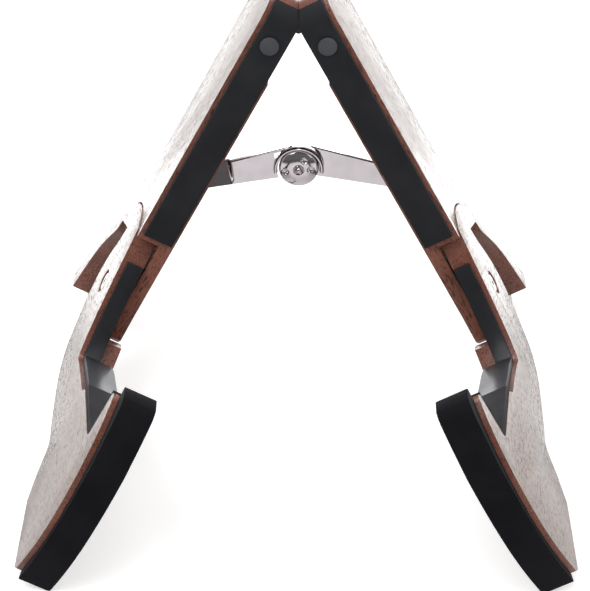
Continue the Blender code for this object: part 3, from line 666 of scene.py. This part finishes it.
@dataclass
class Hardware:
    """The metal pieces that keep their CAD shape.

    Attributes:
    """

    frame: dict

    def build(self) -> None:
        """Paints every node that no other class has replaced."""
        for name, node in self.frame["nodes"].items():
            if node.hide_render:
                continue
            finish, slot = self.finish_of(name)
            finish.paint(node, slot)
            LOG.info("%s: %s", name, finish.name)

    @staticmethod
    def finish_of(name: str) -> tuple[Finish, str]:
        """Picks a node's finish.

        Args:
            name: The node's name.

        Returns:
            The finish and the record's slot.
        """
        if name.startswith("stay_") or name.endswith("stay_link"):
            return CHROME, "chrome"
        if name.endswith("hinge_leaf"):
            return BLACK_STEEL, "hinge"
        if name == "hinge_pin":
            return BLACK_STEEL, "steel"
        if name.endswith("friction_washer"):
            return FIBRE, "fibre"
        if name.endswith("threaded_insert"):
            return BRASS, "brass"
        return ZINC, "steel"


@dataclass(frozen=True)
class LinkShape:
    """One pressed link of the lid stay, measured from its pin towards the hub.

    Attributes:
        side: Which side's link it is.
        face: How far forward its face lies.
        face_end: Where the face ends.
        flange: Depth of its top flange at the pin and at the hub.
        flange_end: Where the flange ends.
        lean: How far the face is twisted to lean back towards the pin, as a slope.
        lean_range: Between which places it twists.
    """

    side: Side
    face: float
    face_end: float
    flange: tuple[float, float]
    flange_end: float
    lean: float = 0.0
    lean_range: tuple[float, float] = (23.5 * MM, 26.0 * MM)


@dataclass
class LidStay:
    """The chrome lid stay: two flanged links, the dished cup and cap at their joint, and the rivet.

    Attributes:
        links: Shapes of the two links.
        gauge: Thickness of the pressed sheet.
        half: Half the width of a link at its pin.
        crown: How much higher the link's top is at the hub.
        bend: Radius of the bend into the flange.
        cup: Radius and forward place of points across the cup's rolled rim.
        cap: The same across the edge of the cap, from the rivet's seat out.
        dimples: Across and up of the cap's four pressed dimples.
        dimple: Radius and depth of one.
        rivet: Profile of the rivet's head.
    """

    frame: dict
    links: tuple[LinkShape, LinkShape] = (
        LinkShape(Side.LEFT, 1.9 * MM, 49.6 * MM, (1.6 * MM, 5.4 * MM), 60.2 * MM, 0.20),
        LinkShape(Side.RIGHT, -0.3 * MM, 54.0 * MM, (1.2 * MM, 1.6 * MM), 57.0 * MM),
    )
    gauge: float = 0.7 * MM
    half: float = 7.2 * MM
    crown: float = 6.5 * MM
    bend: float = 0.7 * MM
    cup: tuple[tuple[float, float], ...] = (
        (11.3, 0.6), (11.45, 2.4), (11.8, 4.0), (12.3, 4.7), (12.9, 4.75), (13.4, 4.2), (13.7, 3.0), (13.8, 0.6))
    cap: tuple[tuple[float, float], ...] = (
        (0.0, 3.3), (2.6, 3.3), (2.9, 3.5), (3.1, 4.2), (9.6, 2.7), (10.3, 2.3), (10.7, 1.7), (10.9, 0.9), (11.0, 0.1))
    dimples: tuple[tuple[float, float], ...] = ((-6.9, -1.4), (-3.4, -7.0), (3.0, 5.2), (6.2, 0.0))
    dimple: tuple[float, float] = (1.8, 0.8)
    rivet: tuple[tuple[float, float], ...] = (
        (0.0, 5.6), (0.8, 5.45), (1.4, 5.0), (1.75, 4.3), (1.85, 3.5), (2.1, 3.35), (2.4, 3.6), (2.6, 3.5), (2.65, 3.3))

    def build(self) -> None:
        """Makes the stay's pieces, each riding on the body of the node that it stands for."""
        for shape in self.links:
            word = shape.side.word
            parts = [self.sheet(shape, 0.0, shape.face_end, None), self.sheet(shape, shape.face_end, shape.flange_end, 1.5 * MM)]
            if shape.side is Side.LEFT:
                parts.append(self.lathed("cup rim", self.cup, -8.0, 196.0, 96, solid=True))
            self.finished(parts, f"{word}_stay_link_pressed", f"{word}_stay_link")
        steps = 44
        inner, outer = self.cap[3], self.cap[4]
        disc = [(inner[0] + (outer[0] - inner[0]) * i / steps,
                 inner[1] + (outer[1] - inner[1]) * (i / steps) ** 2) for i in range(1, steps)]
        cap = self.lathed("cap", (*self.cap[:4], *disc, *self.cap[4:]), 0.0, 360.0, 160)
        self.press(cap)
        self.finished([cap], "stay_cap_dimpled", "stay_hub_front")
        self.finished([self.lathed("head", self.rivet, 0.0, 360.0, 64)], "stay_rivet_head", "stay_rivet")

    @property
    def hub(self) -> Vector:
        """Middle of the joint between the links, in the plane between their faces."""
        pin = self.pin(Side.LEFT)
        corners = [self.frame["nodes"]["stay_rivet"].matrix_world @ Vector(c)
                   for c in self.frame["nodes"]["stay_rivet"].bound_box]
        heights = [corner.z for corner in corners]
        return Vector((0.0, pin.y, (min(heights) + max(heights)) / 2))

    def pin(self, side: Side) -> Vector:
        """A point on the axis of a side's stay pin."""
        return Vector(next(j for j in self.frame["joints"] if j["name"] == f"{side.word}_stay_turn")["pos_m"])

    def sheet(self, shape: LinkShape, start: float, end: float, lip: float | None) -> bpy.types.Object:
        """Bends a grid into a link's face and top flange.

        Args:
            shape: The link.
            start: Where the piece starts, from the pin.
            end: Where it ends.
            lip: Height of the face below the bend, or None for the whole face with its round pin end.

        Returns:
            The sheet, with its thickness.
        """
        pin = self.pin(shape.side)
        along = self.hub - pin
        length = along.length
        along.normalize()
        up = Vector((0.0, -1.0, 0.0)).cross(along) * (1 if shape.side is Side.RIGHT else -1)
        up = up if up.z > 0 else -up
        alone_deselect()
        bpy.ops.mesh.primitive_grid_add(x_subdivisions=90, y_subdivisions=30, size=1.0)
        piece = bpy.context.object
        first = start - self.half * 0.95 if lip is None else start
        for vertex in piece.data.vertices:
            share, rise = vertex.co.x + 0.5, vertex.co.y + 0.5
            place = first + (end - first) * share
            reach = min(max(place / length, 0.0), 1.0)
            round_off = math.sqrt(max(1.0 - (min(place, 0.0) / self.half) ** 2, 0.0))
            top = (self.half + self.crown * reach) * round_off
            bottom = -self.half * 0.52 * round_off if lip is None else top - lip
            low, high = shape.lean_range
            t = min(max((place - low) / (high - low), 0.0), 1.0)
            lean = shape.lean * (1.0 - t * t * (3.0 - 2.0 * t))
            face = shape.face - lean * (top - self.bend - bottom)
            depth = shape.flange[0] + (shape.flange[1] - shape.flange[0]) * reach ** 2
            if rise < 0.6:
                height = bottom + (top - self.bend - bottom) * rise / 0.6
                forward = shape.face - lean * (height - bottom)
            elif rise < 0.8:
                turn = (rise - 0.6) / 0.2 * math.pi / 2
                height = top - self.bend * (1.0 - math.sin(turn))
                forward = face - self.bend * (1.0 - math.cos(turn))
            else:
                height, forward = top, face - self.bend - (depth - self.bend) * (rise - 0.8) / 0.2
            vertex.co = pin + along * place + up * height + Vector((0.0, -forward, 0.0))
        self.thicken(piece)
        return piece

    def lathed(self, name: str, profile: tuple, start: float, turn: float, steps: int, solid: bool = False) -> bpy.types.Object:
        """Turns a profile about the rivet's axis.

        Args:
            name: The piece's name for now.
            profile: Radius and forward place of its points, in millimetres.
            start: Where the turn starts, in degrees from the right upwards.
            turn: How far it goes.
            steps: Faces round it.
            solid: Whether the sheet gets a thickness.

        Returns:
            The turned piece, in place.
        """
        data = bpy.data.meshes.new(name)
        data.from_pydata([(r * MM, 0.0, f * MM) for r, f in profile], [(i, i + 1) for i in range(len(profile) - 1)], [])
        piece = bpy.data.objects.new(name, data)
        bpy.context.scene.collection.objects.link(piece)
        alone(piece)
        screw = piece.modifiers.new("turn", "SCREW")
        screw.axis, screw.angle = "Z", math.radians(turn)
        screw.steps = screw.render_steps = steps
        screw.use_merge_vertices, screw.merge_threshold = True, 0.00001
        bpy.ops.object.modifier_apply(modifier=screw.name)
        turned = Matrix.Rotation(math.pi / 2, 4, "X") @ Matrix.Rotation(math.radians(start), 4, "Z")
        piece.matrix_world = Matrix.Translation(self.hub) @ turned
        bpy.ops.object.transform_apply(location=True, rotation=True, scale=True)
        if solid:
            self.thicken(piece)
        return piece

    def thicken(self, piece: bpy.types.Object) -> None:
        """Gives a bent sheet its thickness.

        Args:
            piece: The sheet.
        """
        alone(piece)
        bpy.ops.object.mode_set(mode="EDIT")
        bpy.ops.mesh.select_all(action="SELECT")
        bpy.ops.mesh.normals_make_consistent(inside=False)
        bpy.ops.object.mode_set(mode="OBJECT")
        front = sum(p.normal.y * p.area for p in piece.data.polygons) < 0
        solid = piece.modifiers.new("gauge", "SOLIDIFY")
        solid.thickness = self.gauge
        solid.offset = -1.0 if front else 1.0
        solid.use_even_offset = True
        bpy.ops.object.modifier_apply(modifier=solid.name)

    def press(self, cap: bpy.types.Object) -> None:
        """Presses the four dimples into the cap.

        Args:
            cap: The cap, in place.
        """
        radius, depth = self.dimple
        hub = self.hub
        for vertex in cap.data.vertices:
            across, rise = (vertex.co.x - hub.x) / MM, (vertex.co.z - hub.z) / MM
            for place in self.dimples:
                away = math.hypot(across - place[0], rise - place[1]) / radius
                if away < 1.0:
                    vertex.co.y += depth * MM * (1.0 - away ** 2) ** 0.7

    def finished(self, parts: list[bpy.types.Object], name: str, node: str) -> None:
        """Joins parts into the piece that stands for a node.

        Args:
            parts: Its parts, in place.
            name: Its name.
            node: The node's name.
        """
        alone(parts[0])
        for part in parts[1:]:
            part.select_set(True)
        if len(parts) > 1:
            bpy.ops.object.join()
        piece = bpy.context.view_layer.objects.active
        piece.name = name
        bpy.ops.object.mode_set(mode="EDIT")
        bpy.ops.mesh.select_all(action="SELECT")
        bpy.ops.mesh.normals_make_consistent(inside=False)
        bpy.ops.object.mode_set(mode="OBJECT")
        bpy.ops.object.transform_apply(location=True, rotation=True, scale=True)
        bpy.ops.object.shade_smooth_by_angle(angle=math.radians(40.0))
        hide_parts(node)
        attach(piece, self.frame["nodes"][node]["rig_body"])
        CHROME.paint(piece, "chrome")
        LOG.info("%s: %d faces", piece.name, len(piece.data.polygons))


@dataclass
class Studio:
    """The floor, the soft light and the camera of the photograph.

    Attributes:
        floor_half: Half the floor's width.
        distance: Of the camera, forward of the boards' front edges.
        rise: Of the camera, above the hinge axis.
        shift: Of the camera, to the right of the middle.
        pitch: How far it looks down, in degrees.
        yaw: How far it looks to the right, in degrees.
        focal_pixels: Its focal length in pixels of the photograph.
        edge_forward: The boards' front edges lie this far forward of the arm's pivot.
        behind: Where the floor behind the stand starts to mirror brightly and where it is brightest.
        beyond: Where its glow gets less again, and how much is left of it there.
        before: Where the floor in front is unlit for mirrors and where it is lit.
        front_glow: What mirrors see of the floor beyond its own light, in front.
        back_glow: The same added behind.
        wall_glow: The same of the bright wall behind.
        front_wall: How much of the wall's light mirrors see in front, where the room is dark.
        top_glow: What mirrors see straight overhead.
        above: Heights on the unit sphere between which mirrors see the room go dark.
    """

    frame: dict
    floor_half: float = 6.0
    behind: tuple[float, float] = (0.10, 0.28)
    beyond: tuple[float, float] = (0.36, 0.52)
    far_glow: float = 0.45
    before: tuple[float, float] = (-0.75, -0.40)
    front_glow: float = 0.1
    back_glow: float = 1.4
    wall_glow: float = 4.5
    front_wall: float = 0.15
    top_glow: float = 8.0
    above: tuple[float, float] = (0.395, 0.43)
    distance: float = 1.060
    rise: float = 0.46453
    shift: float = 0.0066
    pitch: float = 30.4
    yaw: float = -0.455
    focal_pixels: float = 2240.0
    edge_forward: float = 0.0195

    def build(self) -> None:
        """Makes the floor, the world, the lamps and the camera."""
        self.floor()
        self.world()
        self.lamp("key softbox", (-1.1, -1.3, 1.9), 1.6, 34.0)
        self.lamp("fill softbox", (1.5, -0.9, 1.3), 1.6, 16.0)
        self.lamp("back softbox", (0.2, 1.6, 1.7), 1.8, 22.0)
        self.camera()
        bpy.context.scene.view_settings.view_transform = "Standard"

    @staticmethod
    def rays(recipe: Recipe) -> tuple[bpy.types.NodeSocket, bpy.types.NodeSocket]:
        """1 for camera and transmission rays, which see white, and 1 for glossy rays."""
        path = recipe.add("ShaderNodeLightPath")
        plain = recipe.math("MAXIMUM", path.outputs["Is Camera Ray"], path.outputs["Is Transmission Ray"])
        return plain, path.outputs["Is Glossy Ray"]

    def floor(self) -> None:
        """A plain pale floor that keeps the object's shadow."""
        alone_deselect()
        bpy.ops.mesh.primitive_plane_add(size=2 * self.floor_half, location=(0, 0, 0))
        plane = bpy.context.object
        plane.name = "floor"
        made = bpy.data.materials.new("pale floor")
        made.use_nodes = True
        recipe = Recipe(made.node_tree)
        made.node_tree.nodes.remove(made.node_tree.nodes["Principled BSDF"])
        matt = recipe.add("ShaderNodeBsdfDiffuse", Color=(0.86, 0.86, 0.86, 1.0))
        glow = recipe.add("ShaderNodeEmission", Color=(1.0, 1.0, 1.0, 1.0))
        plain, glossy = self.rays(recipe)
        place = recipe.add("ShaderNodeSeparateXYZ", Vector=recipe.add("ShaderNodeTexCoord").outputs["Object"])
        behind = recipe.steps(place.outputs["Y"], *self.behind)
        far = recipe.math("MULTIPLY", recipe.steps(place.outputs["Y"], *self.beyond), self.back_glow - self.far_glow)
        rear = recipe.math("SUBTRACT", recipe.math("MULTIPLY", behind, self.back_glow), far)
        mirrored = recipe.math("ADD", rear, self.front_glow)
        level = recipe.math("ADD", recipe.math("MULTIPLY", plain, 0.42), recipe.math("MULTIPLY", glossy, mirrored))
        recipe.tree.links.new(level, glow.inputs["Strength"])
        both = recipe.add("ShaderNodeAddShader")
        recipe.tree.links.new(matt.outputs[0], both.inputs[0])
        recipe.tree.links.new(glow.outputs[0], both.inputs[1])
        dim = recipe.add("ShaderNodeEmission", Color=(1.0, 1.0, 1.0, 1.0), Strength=0.15)
        near = recipe.steps(place.outputs["Y"], *self.before)
        unlit = recipe.math("MULTIPLY", glossy, recipe.math("SUBTRACT", 1.0, near))
        seen = recipe.add("ShaderNodeMixShader", Fac=unlit)
        recipe.tree.links.new(both.outputs[0], seen.inputs[1])
        recipe.tree.links.new(dim.outputs[0], seen.inputs[2])
        recipe.tree.links.new(seen.outputs[0], made.node_tree.nodes["Material Output"].inputs["Surface"])
        plane.data.materials.append(made)

    def world(self) -> None:
        """White light from all round; for mirrors only, a painted reflection of a bright low wall behind, a dark room
        above and in front, and a bright patch overhead.
        """
        world = bpy.data.worlds.new("light tent")
        bpy.context.scene.world = world
        world.use_nodes = True
        recipe = Recipe(world.node_tree)
        back = world.node_tree.nodes["Background"]
        back.inputs["Color"].default_value = (1.0, 1.0, 1.0, 1.0)
        plain, glossy = self.rays(recipe)
        way = recipe.add("ShaderNodeSeparateXYZ", Vector=recipe.add("ShaderNodeTexCoord").outputs["Generated"])
        above = recipe.steps(way.outputs["Z"], *self.above)
        rear = recipe.steps(way.outputs["Y"], 0.2, 0.6)
        wall = recipe.math("MULTIPLY", rear, self.wall_glow)
        low = recipe.math("MULTIPLY", recipe.math("SUBTRACT", 1.0, above), recipe.math("ADD", rear, self.front_wall))
        mirrored = recipe.math("SUBTRACT", recipe.math("MULTIPLY", low, recipe.math("ADD", wall, 0.7)), 0.45)
        overhead = recipe.math("MULTIPLY", recipe.steps(way.outputs["Z"], 0.86, 0.94), self.top_glow)
        mirrored = recipe.math("ADD", mirrored, overhead)
        level = recipe.math("ADD", recipe.math("MULTIPLY", plain, 0.45), recipe.math("MULTIPLY", glossy, mirrored))
        recipe.tree.links.new(recipe.math("ADD", level, 0.55), back.inputs["Strength"])

    @staticmethod
    def lamp(name: str, place: tuple[float, float, float], size: float, watts: float) -> None:
        """A square softbox that faces the stand.

        Args:
            name: The lamp's name.
            place: Where it hangs.
            size: Its width.
            watts: Its power.
        """
        data = bpy.data.lights.new(name, "AREA")
        data.shape = "SQUARE"
        data.size = size
        data.energy = watts
        lamp = bpy.data.objects.new(name, data)
        lamp.location = place
        lamp.rotation_euler = (Vector((0, 0, 0.12)) - Vector(place)).to_track_quat("-Z", "Y").to_euler()
        bpy.context.scene.collection.objects.link(lamp)

    def camera(self) -> None:
        """The camera that took the photograph."""
        hinge = Vector(next(j for j in self.frame["joints"] if j["name"] == "top_hinge")["pos_m"])
        data = bpy.data.cameras.new("photo camera")
        data.sensor_fit = "HORIZONTAL"
        data.lens = data.sensor_width * self.focal_pixels / IMAGE_WIDTH
        data.clip_start, data.clip_end = 0.05, 50.0
        camera = bpy.data.objects.new("photo camera", data)
        camera.location = hinge + Vector((self.shift, -self.edge_forward - self.distance, self.rise))
        pitch, yaw = math.radians(self.pitch), math.radians(self.yaw)
        ahead = Vector((math.sin(yaw) * math.cos(pitch), math.cos(yaw) * math.cos(pitch), -math.sin(pitch)))
        camera.rotation_euler = ahead.to_track_quat("-Z", "Y").to_euler()
        bpy.context.scene.collection.objects.link(camera)
        bpy.context.scene.camera = camera


def alone_deselect() -> None:
    """Selects nothing, so that a new primitive is alone."""
    bpy.ops.object.select_all(action="DESELECT")


def main() -> None:
    """Builds the looks in order."""
    logging.basicConfig(level=logging.INFO, format="%(name)s: %(message)s")
    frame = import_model()
    for side in Side:
        WoodenSide(frame, side).build()
        Padding(frame, side).build()
    LidStay(frame).build()
    Hardware(frame).build()
    Studio(frame).build()


if __name__ == "__main__":
    main()
